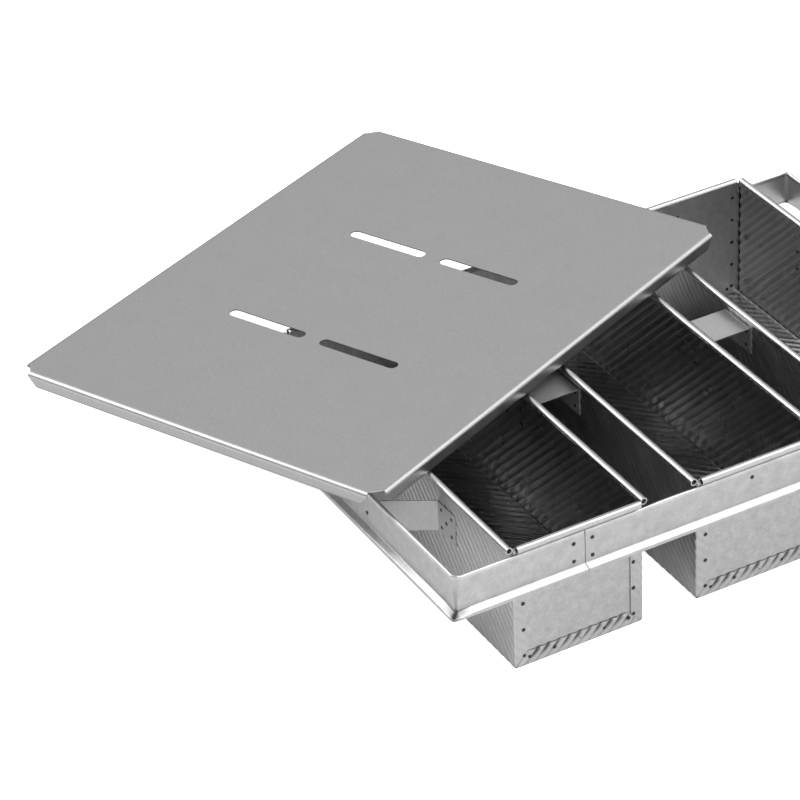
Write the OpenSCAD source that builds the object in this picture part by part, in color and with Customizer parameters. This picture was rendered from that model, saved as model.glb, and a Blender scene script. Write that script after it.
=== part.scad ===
// Row of three deep straight-sided loaf pans in one riveted strap, with a loose flat cover.
// Millimetres, +Z up. Origin: middle of the middle pan's underside.
// The pans run along Y, the row runs along X, and the cover lies askew on the rims.

/* [Pans] */
// Outer width of one pan body
pan_w = 103.8; // [80:0.2:140]
// Outer length of one pan body
pan_l = 323; // [240:1:400]
// Height of a pan from its underside to the top of its rim
pan_h = 104; // [90:1:130]
// Thickness of the pan sheet
sheet_t = 0.8; // [0.6:0.1:1]
// Outside radius of the bend along the bottom edges
bottom_r = 1.8; // [1.4:0.1:3]
// Clear space between two pans, and between an outer pan and the strap
pan_gap = 45.2; // [30:0.2:60]

/* [Rims] */
// Outside radius of the rolled rim
roll_r = 2.6; // [2.4:0.1:2.9]
// How far the roll's middle stands outside the sheet's outer face
roll_out = 2.2; // [2:0.05:2.3]
// How far an end roll stops short of the pan's sides
roll_short = 2.6; // [2:0.1:6]
// Clearance round the wire in the roll
wire_fit = 0.1; // [0.05:0.05:0.3]
// How far a wire's end lies inside its roll
wire_recess = 3; // [1:0.5:10]

/* [End folds] */
// Width of the upright folds over the end panel
fold_w = 10; // [9:0.5:16]
// Height of the bottom fold over the end panel
fold_h = 11.5; // [10:0.5:16]
// Space between the upright folds' tops and the strap's hem
fold_top_gap = 0.4; // [0.3:0.1:3]
// Clearance of the end panel inside the body
panel_fit = 0.1; // [0.05:0.05:0.3]

/* [Rivets] */
// Radius of a rivet's shank
shank_r = 1.1; // [0.9:0.1:1.2]
// Radius of a rivet's head
head_r = 1.8; // [1.5:0.1:2]
// Height of a rivet's head
head_h = 0.6; // [0.4:0.1:0.8]
// Clearance round a shank
rivet_fit = 0.05; // [0.02:0.01:0.1]
// Distance of the upright rivet row from the pan's side
side_row_in = 7.3; // [6:0.1:8]
// Height of the lowest rivet of an upright row, in front
front_row_z = 9.3; // [8.5:0.1:14]
// Height of the lowest rivet of an upright row, behind
rear_row_z = 8.6; // [8.5:0.1:14]
// Distance of a front row's highest rivet below the folds' tops
front_row_down = 15.9; // [12:0.1:18]
// Distance of a rear row's highest rivet below the folds' tops
rear_row_down = 2.4; // [2:0.1:6]
// Height of the bottom rivet row
bottom_row_z = 7; // [6:0.5:8]
// Distance between the bottom row's last rivet and the upright row
bottom_row_in = 4.2; // [4.1:0.1:8]

/* [Strap] */
// Distance of the strap's top below the rims
strap_down = 7.6; // [6:0.1:12]
// Height of the strap's flat face, from the flare up to the top
strap_face_h = 24.8; // [20:0.2:30]
// Height of the hem folded down inside the strap's top
hem_h = 4.2; // [3:0.1:5.2]
// How far the flare stands out from the face
flare_out = 4.8; // [3:0.1:7]
// How far the flare drops
flare_drop = 3; // [1:0.1:5]
// Height of the lip under the flare
lip_h = 2.4; // [1:0.1:5]
// Inside radius of the strap's corners
corner_r = 2.5; // [1.5:0.1:6]
// Width of the pinched notch in the flare at each corner
pinch_w = 1.2; // [0.6:0.1:2]

/* [Strap joint] */
// Distance of the joint from the middle of the first pan, along the row
joint_x = 3.8; // [-15:0.1:15]
// Gap between the strap's two ends
joint_gap = 0.6; // [0.4:0.1:1.2]
// Gap in the roll and in the flare at the joint
joint_notch = 2.6; // [1.5:0.1:4]
// Width of the plate behind the joint
splice_w = 30; // [26:0.5:40]
// Distance of the plate's edges from its rivets, up and down
splice_edge = 2.6; // [2:0.1:3.4]
// Distance of the joint's rivets from the joint
splice_rivet_x = 7.5; // [5:0.1:10]
// Spacing of the joint's rivets up the strap
splice_rivet_z = 14.8; // [10:0.1:16]
// Distance of the upper rivets below the strap's top
strap_rivet_in = 8; // [7:0.1:9]
// Distance of the pans' strap rivets from the middle of the pan
pan_rivet_x = 6.4; // [0:0.1:15]

/* [Inner spacers] */
// Length of an inner spacer along the pans
spacer_l = 32; // [24:0.5:50]
// Distance of the inner spacers behind the middle of the pans
spacer_y = 7; // [-20:0.5:20]
// Distance of the spacer's top below the rim
spacer_down = 10.5; // [8:0.5:20]
// Height of the spacer's side flanges
spacer_h = 22.5; // [18:0.5:30]
// Distance of the spacer's rivets from its ends and edges
spacer_rivet_in = 5.5; // [4:0.1:7]

/* [Outer brackets] */
// Distance of a bracket's bend at the pan from the middle of the pans
bracket_y = 61.5; // [50:0.5:70]
// How far the web leans towards the middle as it crosses to the strap
bracket_lean = 28; // [10:0.5:36]
// Length of the flange on the pan
bracket_pan_l = 24; // [20:0.5:30]
// Length of the foot on the strap
bracket_foot_l = 16; // [12:0.5:22]
// Height of a bracket
bracket_h = 25.4; // [22:0.2:26]
// Distance of the bracket's top below the strap's top
bracket_down = 12.6; // [12:0.1:14]
// Distance of the bracket's rivets from its ends and edges
bracket_rivet_in = 5.2; // [4:0.1:6]
// Distance of the foot's rivet below the bracket's top
foot_rivet_down = 4.8; // [4:0.1:6]

/* [Cover] */
// Width of the cover, across its hand slots' rows
cover_w = 337; // [260:1:420]
// Length of the cover
cover_l = 421; // [340:1:560]
// Thickness of the cover sheet
cover_t = 0.9; // [0.7:0.1:1.2]
// Depth of the cover's edge, over the sheet
cover_edge_h = 10.7; // [8:0.1:13]
// Outside radius of the bend along the edge
cover_bend_r = 2; // [1.6:0.1:3]
// Leg of the cut corner
cover_cut = 10; // [6:0.5:16]
// How far the lower corner of an edge is trimmed back
edge_trim = 7; // [2:0.5:12]
// Length of a hand slot
slot_l = 70.6; // [50:0.2:90]
// Width of a hand slot
slot_w = 8.6; // [6:0.1:12]
// Distance of a slot's middle from the cover's middle, across the cover
slot_u = 43.2; // [40:0.2:60]
// Distance of a slot row from the cover's middle, along the cover
slot_v = 68.5; // [40:0.5:90]
// How far each slot row is shifted across the cover, the two rows opposite ways
slot_shift = 3.4; // [0:0.1:6]

/* [Cover at rest] */
// Place of the cover's middle along the row
cover_x = -126.8; // [-150:0.1:-110]
// Place of the cover's middle along the pans
cover_y = 160.3; // [145:0.1:175]
// Turn of the cover on the rims, in degrees
cover_turn = -67.3; // [-75:0.1:-60]
// Tip of the cover about the row, in degrees
cover_tip_x = -2.65; // [-4:0.05:-1.5]
// Tip of the cover about the pans' length, in degrees
cover_tip_y = -1.77; // [-3:0.05:-1]
// Clearance under the cover where it bears on the rims
cover_fit = 0.35; // [0.3:0.01:0.6]

/* [Hidden] */
$fn = 48;
// One overrun for every cut
over = 5;
// Colours of the bright sheet, the rivets and the wire
bright = [0.74, 0.75, 0.76];
dull = [0.55, 0.56, 0.57];

// Middles of the three pans along the row
pitch = pan_w + pan_gap;
pan_x = [-pitch, 0, pitch];

// Faces of a pan
side_in = pan_w / 2 - sheet_t;
end_out = pan_l / 2;
panel_out = end_out - sheet_t;
panel_in = panel_out - sheet_t;
roll_z = pan_h - roll_r;
roll_x = pan_w / 2 + roll_out;
roll_y = panel_out + roll_out;
end_roll_l = pan_w - 2 * roll_short;
wire_r = roll_r - sheet_t - wire_fit;

// Faces of the strap, which is of the pans' sheet and lies against their end folds
strap_t = sheet_t;
strap_x = pitch + pan_w / 2 + pan_gap;
strap_y = end_out;
strap_top = pan_h - strap_down;
hem_low = strap_top - hem_h;
fold_top = hem_low - fold_top_gap;
flare_top = strap_top - strap_face_h;
flare_low = flare_top - flare_drop;
strap_low = flare_low - lip_h;
flare_angle = atan2(flare_drop, flare_out);
flare_step = strap_t / cos(flare_angle) - strap_t * tan(flare_angle);

// Rivet places on a pan end, as [along the row, height]
front_rows = 4;
rear_rows = 5;
bottom_row = 5;
side_row_x = pan_w / 2 - side_row_in;
bottom_x = side_row_x - bottom_row_in;
front_pitch = (fold_top - front_row_down - front_row_z) / (front_rows - 1);
rear_pitch = (fold_top - rear_row_down - rear_row_z) / (rear_rows - 1);
bottom_points = [for (i = [0:bottom_row - 1]) [bottom_x * (2 * i / (bottom_row - 1) - 1), bottom_row_z]];
front_points = [
    for (s = [-1, 1]) for (i = [0:front_rows - 1]) [s * side_row_x, front_row_z + i * front_pitch],
    each bottom_points
];
rear_points = [
    for (s = [-1, 1]) for (i = [0:rear_rows - 1]) [s * side_row_x, rear_row_z + i * rear_pitch],
    each bottom_points
];
strap_rivet_z = strap_top - strap_rivet_in;
joint_at = pan_x[0] + joint_x;
splice_points = [
    for (s = [-1, 1]) for (k = [0, 1]) [joint_at + s * splice_rivet_x, strap_rivet_z - k * splice_rivet_z]
];
// Strap rivets away from the joint: two pans in front, three behind
front_rivet_x = [pan_x[1] - pan_rivet_x, pan_x[2] - pan_rivet_x];
rear_rivet_x = [for (x = pan_x) x - pan_rivet_x];

// Rivet places on an inner spacer, as [along the pans, height]
spacer_top = pan_h - spacer_down;
spacer_points = [
    for (s = [-1, 1]) for (z = [spacer_top - spacer_rivet_in, spacer_top - spacer_h + spacer_rivet_in])
        [spacer_y + s * (spacer_l / 2 - spacer_rivet_in), z]
];
spacer_x = [-pitch / 2, pitch / 2];

// Rivet places on an outer bracket: four at the flange's corners and one in its middle
bracket_top = strap_top - bracket_down;
bracket_low = bracket_top - bracket_h;
bracket_mid_z = (bracket_top + bracket_low) / 2;
bracket_far = bracket_y + bracket_pan_l;
bracket_points = [
    for (y = [bracket_y + bracket_rivet_in, bracket_far - bracket_rivet_in])
        for (z = [bracket_top - bracket_rivet_in, bracket_low + bracket_rivet_in]) [y, z],
    [(bracket_y + bracket_far) / 2, bracket_mid_z]
];
foot_y = bracket_y - bracket_lean;
foot_point = [foot_y + bracket_foot_l / 2, bracket_top - foot_rivet_down];

// Height at which the tipped cover bears on the rims or on the strap, found from points along their tops
rest_steps = 120;
slope_x = -tan(cover_tip_y);
slope_y = tan(cover_tip_x) / cos(cover_tip_y);
flat_share = cos(cover_tip_x) * cos(cover_tip_y);
function ring(hx, hy, z, cx) = [
    for (i = [0:rest_steps]) let (s = 2 * i / rest_steps - 1)
        for (p = [[cx + s * hx, -hy, z], [cx + s * hx, hy, z], [cx - hx, s * hy, z], [cx + hx, s * hy, z]]) p
];
function across(p) = (p.x - cover_x) * cos(cover_turn) + (p.y - cover_y) * sin(cover_turn);
function along(p) = (p.y - cover_y) * cos(cover_turn) - (p.x - cover_x) * sin(cover_turn);
function under_edge(p) = abs(across(p)) > cover_w / 2 - cover_bend_r - roll_r
    || abs(along(p)) > cover_l / 2 - cover_bend_r - roll_r;
function under_cover(p) = abs(across(p)) < cover_w / 2 + roll_r && abs(along(p)) < cover_l / 2 + roll_r;
function bears_at(p) = p.z + (under_edge(p) ? cover_edge_h : cover_t) / flat_share
    - slope_x * (p.x - cover_x) - slope_y * (p.y - cover_y);
rest_points = [
    for (x = pan_x) each ring(roll_x, roll_y, pan_h, x),
    each ring(strap_x + strap_t, strap_y + strap_t, strap_top, 0)
];
cover_z = cover_fit + max([for (p = rest_points) if (under_cover(p)) bears_at(p)]);

// A strip of sheet seen from its edge: straight runs with round bends, about a middle line
module bent_strip(points, t) {
    for (i = [0:len(points) - 2]) {
        a = points[i];
        b = points[i + 1];
        translate(a) rotate(atan2(b.y - a.y, b.x - a.x)) translate([0, -t / 2]) square([norm(b - a), t]);
    }
    for (i = [1:len(points) - 2]) translate(points[i]) circle(r = t / 2);
}

// A rivet along +Z: the gripped sheets lie from zero to grip, with a head at either end or none
module rivet(grip, low_head = true, high_head = true) {
    low = low_head ? head_h : 0;
    high = high_head ? head_h : 0;
    crown_r = head_r - head_h / 2;
    rotate_extrude() polygon([
        [0, -low], if (low_head) each [[crown_r, -low], [head_r, -low / 2], [head_r, 0]],
        [shank_r, 0], [shank_r, grip],
        if (high_head) each [[head_r, grip], [head_r, grip + high / 2], [crown_r, grip + high]],
        [0, grip + high]
    ]);
}

// A rivet's hole along +Z
module rivet_hole(grip) {
    translate([0, 0, -over]) cylinder(r = shank_r + rivet_fit, h = grip + 2 * over);
}

// Places its children facing a pan end: local +Z is outward, local X and Y are the row and the height
module on_front(at, y) { translate([at.x, -y, at.y]) rotate([90, 0, 0]) children(); }
module on_rear(at, y) { translate([at.x, y, at.y]) rotate([-90, 0, 0]) children(); }

// Section across a pan body: two walls joined by rounded bends to the bottom
module body_section() {
    difference() {
        union() {
            translate([-pan_w / 2, bottom_r]) square([pan_w, roll_z - bottom_r]);
            translate([-pan_w / 2 + bottom_r, 0]) square([pan_w - 2 * bottom_r, bottom_r]);
            for (s = [-1, 1]) translate([s * (pan_w / 2 - bottom_r), bottom_r]) circle(r = bottom_r);
        }
        inner_section(0, roll_z + over);
    }
}

// The space inside a pan body, drawn in by a clearance
module inner_section(fit, top) {
    half = side_in - fit;
    low = sheet_t + fit;
    r = bottom_r - sheet_t;
    translate([-half, low + r]) square([2 * half, top - low - r]);
    translate([-half + r, low]) square([2 * (half - r), top - low]);
    for (s = [-1, 1]) translate([s * (half - r), low + r]) circle(r = r);
}

// A rolled rim, hollow for its wire
module roll_section() {
    difference() {
        circle(r = roll_r);
        circle(r = roll_r - sheet_t);
    }
}

// One folded sheet: walls, bottom, side rolls and the folds over both end panels
module pan_body(cx, bracket_side, spacer_sides) {
    translate([cx, 0, 0]) difference() {
        union() {
            translate([0, end_out, 0]) rotate([90, 0, 0]) linear_extrude(pan_l) body_section();
            for (s = [-1, 1]) translate([s * roll_x, end_out, roll_z]) rotate([90, 0, 0])
                linear_extrude(pan_l) roll_section();
            for (s = [-1, 1]) translate([0, s * (end_out - sheet_t / 2), 0]) end_folds();
        }
        for (s = [-1, 1]) translate([s * roll_x, end_out + over, roll_z]) rotate([90, 0, 0])
            cylinder(r = roll_r - sheet_t, h = pan_l + 2 * over);
        // Above the folds the walls end where the strap's hem lies
        for (s = [0, 1]) mirror([0, s, 0]) translate([-pan_w / 2 - over, panel_out, fold_top])
            cube([pan_w + 2 * over, over, hem_h + 2 * fold_top_gap]);
        for (p = front_points) on_front(p, panel_out) rivet_hole(sheet_t);
        for (p = rear_points) on_rear(p, panel_out) rivet_hole(sheet_t);
        for (s = spacer_sides) for (p = spacer_points)
            translate([s * side_in, p.x, p.y]) rotate([0, s * 90, 0]) rivet_hole(sheet_t);
        if (bracket_side != 0) for (e = [-1, 1]) for (p = bracket_points)
            translate([bracket_side * side_in, e * p.x, p.y]) rotate([0, bracket_side * 90, 0])
                rivet_hole(sheet_t);
    }
}

// The folds over one end panel, about the middle of their thickness
module end_folds() {
    rotate([90, 0, 0]) linear_extrude(sheet_t, center = true) difference() {
        intersection() {
            union() {
                for (s = [-1, 1]) translate([s * (pan_w - fold_w) / 2 - fold_w / 2, 0])
                    square([fold_w, fold_top]);
                translate([-pan_w / 2, 0]) square([pan_w, fold_h]);
            }
            union() {
                translate([-pan_w / 2, bottom_r]) square([pan_w, fold_top]);
                translate([-pan_w / 2 + bottom_r, 0]) square([pan_w - 2 * bottom_r, fold_h]);
                for (s = [-1, 1]) translate([s * (pan_w / 2 - bottom_r), bottom_r]) circle(r = bottom_r);
            }
        }
    }
}

// An end panel facing the front: a plain plate with its own roll, and its rivet holes
module end_panel(cx, seam_holes, strap_holes) {
    difference() {
        translate([cx, 0, 0]) union() {
            translate([0, -panel_in, 0]) rotate([90, 0, 0]) linear_extrude(sheet_t)
                inner_section(panel_fit, roll_z);
            translate([-end_roll_l / 2, -roll_y, roll_z]) rotate([0, 90, 0])
                linear_extrude(end_roll_l) roll_section();
        }
        translate([cx - end_roll_l / 2 - over, -roll_y, roll_z]) rotate([0, 90, 0])
            cylinder(r = roll_r - sheet_t, h = end_roll_l + 2 * over);
        for (p = seam_holes) on_front([cx + p.x, p.y], panel_out) rivet_hole(sheet_t);
        for (p = strap_holes) on_front(p, panel_out) rivet_hole(sheet_t);
    }
}

module front_end(cx, strap_holes) { end_panel(cx, front_points, strap_holes); }
module rear_end(cx, strap_holes) { mirror([0, 1, 0]) end_panel(cx, rear_points, strap_holes); }

// Four straight wires of one pan, one in each roll
module rim_wires(cx) {
    side_l = pan_l - 2 * wire_recess;
    end_l = end_roll_l - 2 * wire_recess;
    translate([cx, 0, roll_z]) {
        for (s = [-1, 1]) translate([s * roll_x, side_l / 2, 0]) rotate([90, 0, 0])
            cylinder(r = wire_r, h = side_l);
        for (s = [-1, 1]) translate([-end_l / 2, s * roll_y, 0]) rotate([0, 90, 0])
            cylinder(r = wire_r, h = end_l);
    }
}

// The rivets that hold one pan's folds to its end panels; those behind the strap end flush outside
module seam_rivets(cx) {
    for (p = front_points) on_front([cx + p.x, p.y], panel_in)
        rivet(2 * sheet_t, true, p.y + head_r < strap_low);
    for (p = rear_points) on_rear([cx + p.x, p.y], panel_in)
        rivet(2 * sheet_t, true, p.y + head_r < strap_low);
}

// Section of the strap: X is outward from the inner face, Y is up.
// The top is folded over inwards into a closed hem, and the foot flares out to an upright lip.
module strap_section() {
    polygon([
        [strap_t, strap_top - strap_t], [strap_t, flare_top],
        [strap_t + flare_out, flare_low], [strap_t + flare_out, strap_low],
        [flare_out, strap_low], [flare_out, flare_low - flare_step],
        [0, flare_top - flare_step], [0, hem_low], [-strap_t, hem_low], [-strap_t, strap_top - strap_t]
    ]);
    translate([0, strap_top - strap_t]) circle(r = strap_t);
}

module strap_side(l) {
    translate([0, l / 2, 0]) rotate([90, 0, 0]) linear_extrude(l) strap_section();
}

// One strip bent round the row, open at its joint in front of the first pan
module strap_band() {
    straight_x = strap_x - corner_r;
    straight_y = strap_y - corner_r;
    color(bright) difference() {
        union() {
            for (a = [0, 180]) {
                rotate(a) translate([strap_x, 0, 0]) strap_side(2 * straight_y);
                rotate(a + 90) translate([strap_y, 0, 0]) strap_side(2 * straight_x);
            }
            for (sx = [-1, 1]) for (sy = [-1, 1])
                translate([sx * straight_x, sy * straight_y, 0]) rotate(sx * sy > 0 ? (sx > 0 ? 0 : 180)
                    : (sx > 0 ? -90 : 90)) rotate_extrude(angle = 90) translate([corner_r, 0]) strap_section();
        }
        for (sx = [-1, 1]) for (sy = [-1, 1])
            translate([sx * straight_x, sy * straight_y, 0]) rotate(atan2(sy, sx))
                translate([corner_r + strap_t + pinch_w, -pinch_w / 2, strap_low - over])
                    cube([flare_out + over, pinch_w, flare_top - strap_low + over]);
        translate([joint_at, -strap_y, 0]) {
            translate([-joint_gap / 2, -over - flare_out, strap_low - over])
                cube([joint_gap, flare_out + 2 * over, strap_face_h + flare_drop + lip_h + 2 * over]);
            translate([-joint_notch / 2, -over - flare_out, strap_low - over])
                cube([joint_notch, flare_out + 2 * over, flare_top - strap_low + over]);
            translate([-joint_notch / 2, -over - flare_out, strap_top - 2 * strap_t])
                cube([joint_notch, flare_out + 2 * over, 2 * strap_t + over]);
        }
        for (p = splice_points) on_front(p, strap_y) rivet_hole(strap_t);
        for (x = front_rivet_x) on_front([x, strap_rivet_z], strap_y) rivet_hole(strap_t);
        for (x = rear_rivet_x) on_rear([x, strap_rivet_z], strap_y) rivet_hole(strap_t);
        for (s = [-1, 1]) for (e = [-1, 1]) translate([s * strap_x, e * foot_point.x, foot_point.y])
            rotate([0, s * 90, 0]) rivet_hole(strap_t);
    }
}

// The plate behind the joint, between the first pan's end panel and the strap
module strap_splice_plate() {
    color(bright) difference() {
        translate([joint_at - splice_w / 2, -end_out, strap_rivet_z - splice_rivet_z - splice_edge])
            cube([splice_w, sheet_t, splice_rivet_z + 2 * splice_edge]);
        for (p = splice_points) on_front(p, panel_out) rivet_hole(sheet_t);
    }
}

module strap_splice_rivets() {
    color(dull) for (p = splice_points) on_front(p, panel_in) rivet(2 * sheet_t + strap_t);
}

// The other rivets through the strap and the pans' end panels
module strap_pan_rivets() {
    color(dull) {
        for (x = front_rivet_x) on_front([x, strap_rivet_z], panel_in) rivet(2 * sheet_t + strap_t);
        for (x = rear_rivet_x) on_rear([x, strap_rivet_z], panel_in) rivet(2 * sheet_t + strap_t);
    }
}

// A channel with its back up, between two pans just under their rims
module inner_spacer(cx) {
    low = spacer_top - spacer_h;
    half = pan_gap / 2 - sheet_t / 2;
    color(bright) difference() {
        translate([cx, spacer_y + spacer_l / 2, 0]) rotate([90, 0, 0]) linear_extrude(spacer_l)
            bent_strip([[-half, low], [-half, spacer_top - sheet_t / 2], [half, spacer_top - sheet_t / 2],
                [half, low]], sheet_t);
        for (s = [-1, 1]) for (p = spacer_points)
            translate([cx + s * (pan_gap / 2 - sheet_t), p.x, p.y]) rotate([0, s * 90, 0]) rivet_hole(sheet_t);
    }
}

module inner_spacer_rivets() {
    color(dull) for (cx = spacer_x) for (s = [-1, 1]) for (p = spacer_points)
        translate([cx + s * (pan_gap / 2 - sheet_t), p.x, p.y]) rotate([0, s * 90, 0]) rivet(2 * sheet_t);
}

// A bracket between an outer pan and the strap, drawn for the right front
module outer_bracket(side, end) {
    wall_x = pitch + pan_w / 2 + sheet_t / 2;
    foot_x = strap_x - sheet_t / 2;
    color(bright) scale([side, end, 1]) difference() {
        translate([0, 0, bracket_low]) linear_extrude(bracket_h)
            bent_strip([[wall_x, bracket_far], [wall_x, bracket_y], [foot_x, foot_y],
                [foot_x, foot_y + bracket_foot_l]], sheet_t);
        for (p = bracket_points) translate([wall_x - sheet_t / 2, p.x, p.y]) rotate([0, 90, 0])
            rivet_hole(sheet_t);
        translate([foot_x - sheet_t / 2, foot_point.x, foot_point.y]) rotate([0, 90, 0]) rivet_hole(sheet_t);
    }
}

module outer_bracket_rivets() {
    color(dull) for (s = [-1, 1]) for (e = [-1, 1]) {
        for (p = bracket_points) translate([s * (pitch + side_in), e * p.x, p.y]) rotate([0, s * 90, 0])
            rivet(2 * sheet_t);
        translate([s * (strap_x - sheet_t), e * foot_point.x, foot_point.y]) rotate([0, s * 90, 0])
            rivet(sheet_t + strap_t);
    }
}

// Outline of the cover's flat part, with its cut corners
module cover_flat() {
    u = cover_w / 2 - cover_bend_r;
    v = cover_l / 2 - cover_bend_r;
    cu = cover_w / 2 - cover_cut;
    cv = cover_l / 2 - cover_cut;
    polygon([[u, -cv], [u, cv], [cu, v], [-cu, v], [-u, cv], [-u, -cv], [-cu, -v], [cu, -v]]);
}

module hand_slot() {
    straight = slot_l - slot_w;
    translate([-straight / 2, -slot_w / 2]) square([straight, slot_w]);
    for (s = [-1, 1]) translate([s * straight / 2, 0]) circle(r = slot_w / 2);
}

// One turned-down edge of the cover: the bend, then the upright part with its trimmed ends.
// It runs along Y, and X is outward from the cover's middle.
module cover_edge(half, run) {
    inner_r = cover_bend_r - cover_t;
    drop = cover_edge_h - cover_bend_r;
    trim = min(edge_trim, run / 4);
    translate([half - cover_bend_r, run / 2, -cover_bend_r]) rotate([90, 0, 0]) linear_extrude(run)
        intersection() {
            difference() {
                circle(r = cover_bend_r);
                circle(r = inner_r);
            }
            square(cover_bend_r);
        }
    translate([half - cover_t, 0, -cover_bend_r]) rotate([90, 0, 90]) linear_extrude(cover_t)
        polygon([[-run / 2, 0], [run / 2, 0], [run / 2 - trim, -drop], [-run / 2 + trim, -drop]]);
}

// The cover at its place on the rims, as it lies at rest
module cover() {
    color(bright) translate([cover_x, cover_y, cover_z]) rotate([cover_tip_x, cover_tip_y, 0])
        rotate(cover_turn) {
            translate([0, 0, -cover_t]) linear_extrude(cover_t) difference() {
                cover_flat();
                for (su = [-1, 1]) for (sv = [-1, 1])
                    translate([su * slot_u + sv * slot_shift, sv * slot_v]) hand_slot();
            }
            for (a = [0, 180]) {
                rotate(a) cover_edge(cover_w / 2, cover_l - 2 * cover_cut);
                rotate(a + 90) cover_edge(cover_l / 2, cover_w - 2 * cover_cut);
            }
        }
}

module pan_1_body() { color(bright) pan_body(pan_x[0], -1, [1]); }
module pan_2_body() { color(bright) pan_body(pan_x[1], 0, [-1, 1]); }
module pan_3_body() { color(bright) pan_body(pan_x[2], 1, [-1]); }
module pan_1_front_end() { color(bright) front_end(pan_x[0], splice_points); }
module pan_2_front_end() { color(bright) front_end(pan_x[1], [[front_rivet_x[0], strap_rivet_z]]); }
module pan_3_front_end() { color(bright) front_end(pan_x[2], [[front_rivet_x[1], strap_rivet_z]]); }
module pan_1_rear_end() { color(bright) rear_end(pan_x[0], [[rear_rivet_x[0], strap_rivet_z]]); }
module pan_2_rear_end() { color(bright) rear_end(pan_x[1], [[rear_rivet_x[1], strap_rivet_z]]); }
module pan_3_rear_end() { color(bright) rear_end(pan_x[2], [[rear_rivet_x[2], strap_rivet_z]]); }
module pan_1_rim_wires() { color(dull) rim_wires(pan_x[0]); }
module pan_2_rim_wires() { color(dull) rim_wires(pan_x[1]); }
module pan_3_rim_wires() { color(dull) rim_wires(pan_x[2]); }
module pan_1_seam_rivets() { color(dull) seam_rivets(pan_x[0]); }
module pan_2_seam_rivets() { color(dull) seam_rivets(pan_x[1]); }
module pan_3_seam_rivets() { color(dull) seam_rivets(pan_x[2]); }
module inner_spacer_left() { inner_spacer(spacer_x[0]); }
module inner_spacer_right() { inner_spacer(spacer_x[1]); }
module outer_bracket_left_front() { outer_bracket(-1, -1); }
module outer_bracket_left_rear() { outer_bracket(-1, 1); }
module outer_bracket_right_front() { outer_bracket(1, -1); }
module outer_bracket_right_rear() { outer_bracket(1, 1); }

pan_1_body();
pan_1_front_end();
pan_1_rear_end();
pan_1_rim_wires();
pan_1_seam_rivets();
pan_2_body();
pan_2_front_end();
pan_2_rear_end();
pan_2_rim_wires();
pan_2_seam_rivets();
pan_3_body();
pan_3_front_end();
pan_3_rear_end();
pan_3_rim_wires();
pan_3_seam_rivets();
strap_band();
strap_splice_plate();
strap_splice_rivets();
strap_pan_rivets();
inner_spacer_left();
inner_spacer_right();
inner_spacer_rivets();
outer_bracket_left_front();
outer_bracket_left_rear();
outer_bracket_right_front();
outer_bracket_right_rear();
outer_bracket_rivets();
cover();
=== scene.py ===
import math

import bmesh
import bpy
import numpy as np
from mathutils import Matrix, Vector


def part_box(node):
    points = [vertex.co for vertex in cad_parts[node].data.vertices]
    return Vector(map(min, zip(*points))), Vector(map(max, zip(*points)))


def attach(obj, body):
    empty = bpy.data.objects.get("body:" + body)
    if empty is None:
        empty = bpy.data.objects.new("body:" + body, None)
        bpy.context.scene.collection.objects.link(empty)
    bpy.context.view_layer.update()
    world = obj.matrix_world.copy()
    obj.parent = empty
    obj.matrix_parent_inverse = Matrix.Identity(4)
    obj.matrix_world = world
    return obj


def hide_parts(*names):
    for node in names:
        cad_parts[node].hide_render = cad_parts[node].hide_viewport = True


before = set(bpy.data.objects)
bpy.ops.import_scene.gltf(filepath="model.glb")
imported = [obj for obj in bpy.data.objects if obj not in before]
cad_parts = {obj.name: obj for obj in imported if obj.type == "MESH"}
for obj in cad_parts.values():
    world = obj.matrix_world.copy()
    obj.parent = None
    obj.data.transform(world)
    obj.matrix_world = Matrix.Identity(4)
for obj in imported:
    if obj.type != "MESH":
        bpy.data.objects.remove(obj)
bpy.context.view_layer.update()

MM = 0.001

# ---------------------------------------------------------------- sizes, in millimetres
PAN_W, PAN_L, PAN_H, SHEET = 103.8, 323.0, 104.0, 0.8
GAP = 45.2
PITCH = PAN_W + GAP
PAN_X = (-PITCH, 0.0, PITCH)
SIDE_OUT = PAN_W / 2
SIDE_IN = SIDE_OUT - SHEET
END_OUT = PAN_L / 2
PANEL_OUT = END_OUT - SHEET
PANEL_IN = PANEL_OUT - SHEET
CURL_R = 2.8
CURL_Z = PAN_H - CURL_R
SIDE_ROLL_END = 161.0
END_ROLL_HALF = 49.3
STRAP_T = 0.8
STRAP_X = PITCH + SIDE_OUT + GAP
STRAP_Y = END_OUT
STRAP_TOP = PAN_H - 7.6
FLARE_TOP = STRAP_TOP - 27.8
FLARE_LOW = FLARE_TOP - 2.2
STRAP_LOW = FLARE_LOW - 2.2
FLARE_OUT = 4.8
HEM_H = 4.2
JOINT_X = -PITCH + 3.8
SEAM_X = JOINT_X + 1.6
FOLD_TOP = STRAP_TOP - HEM_H - 0.4          # upper end of the folds and of the rivet rows
WAVE_Y = 6.0 * math.sqrt(2)                 # crest to crest along a wall: 6 mm across the grooves


# ---------------------------------------------------------------- mesh helpers
def new_mesh(name, verts, faces, mat, body, smooth=35.0, replaces=(), slot=None, attrs=None, which=None):
    """A visible piece from points in millimetres. which gives each face's place in a list of materials."""
    me = bpy.data.meshes.new(name)
    me.from_pydata((np.asarray(verts, float) * MM).tolist(), [], faces)
    me.update()
    me.polygons.foreach_set("use_smooth", [True] * len(me.polygons))
    me.set_sharp_from_angle(angle=math.radians(smooth))
    for key, values in (attrs or {}).items():
        a = me.attributes.new(key, "FLOAT", "POINT")
        a.data.foreach_set("value", np.asarray(values, np.float32))
    for one in (mat if isinstance(mat, (list, tuple)) else [mat]):
        me.materials.append(one)
    if which:
        me.polygons.foreach_set("material_index", which)
    ob = bpy.data.objects.new(name, me)
    bpy.context.scene.collection.objects.link(ob)
    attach(ob, body)
    if replaces:
        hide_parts(*replaces)
    return ob


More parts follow.
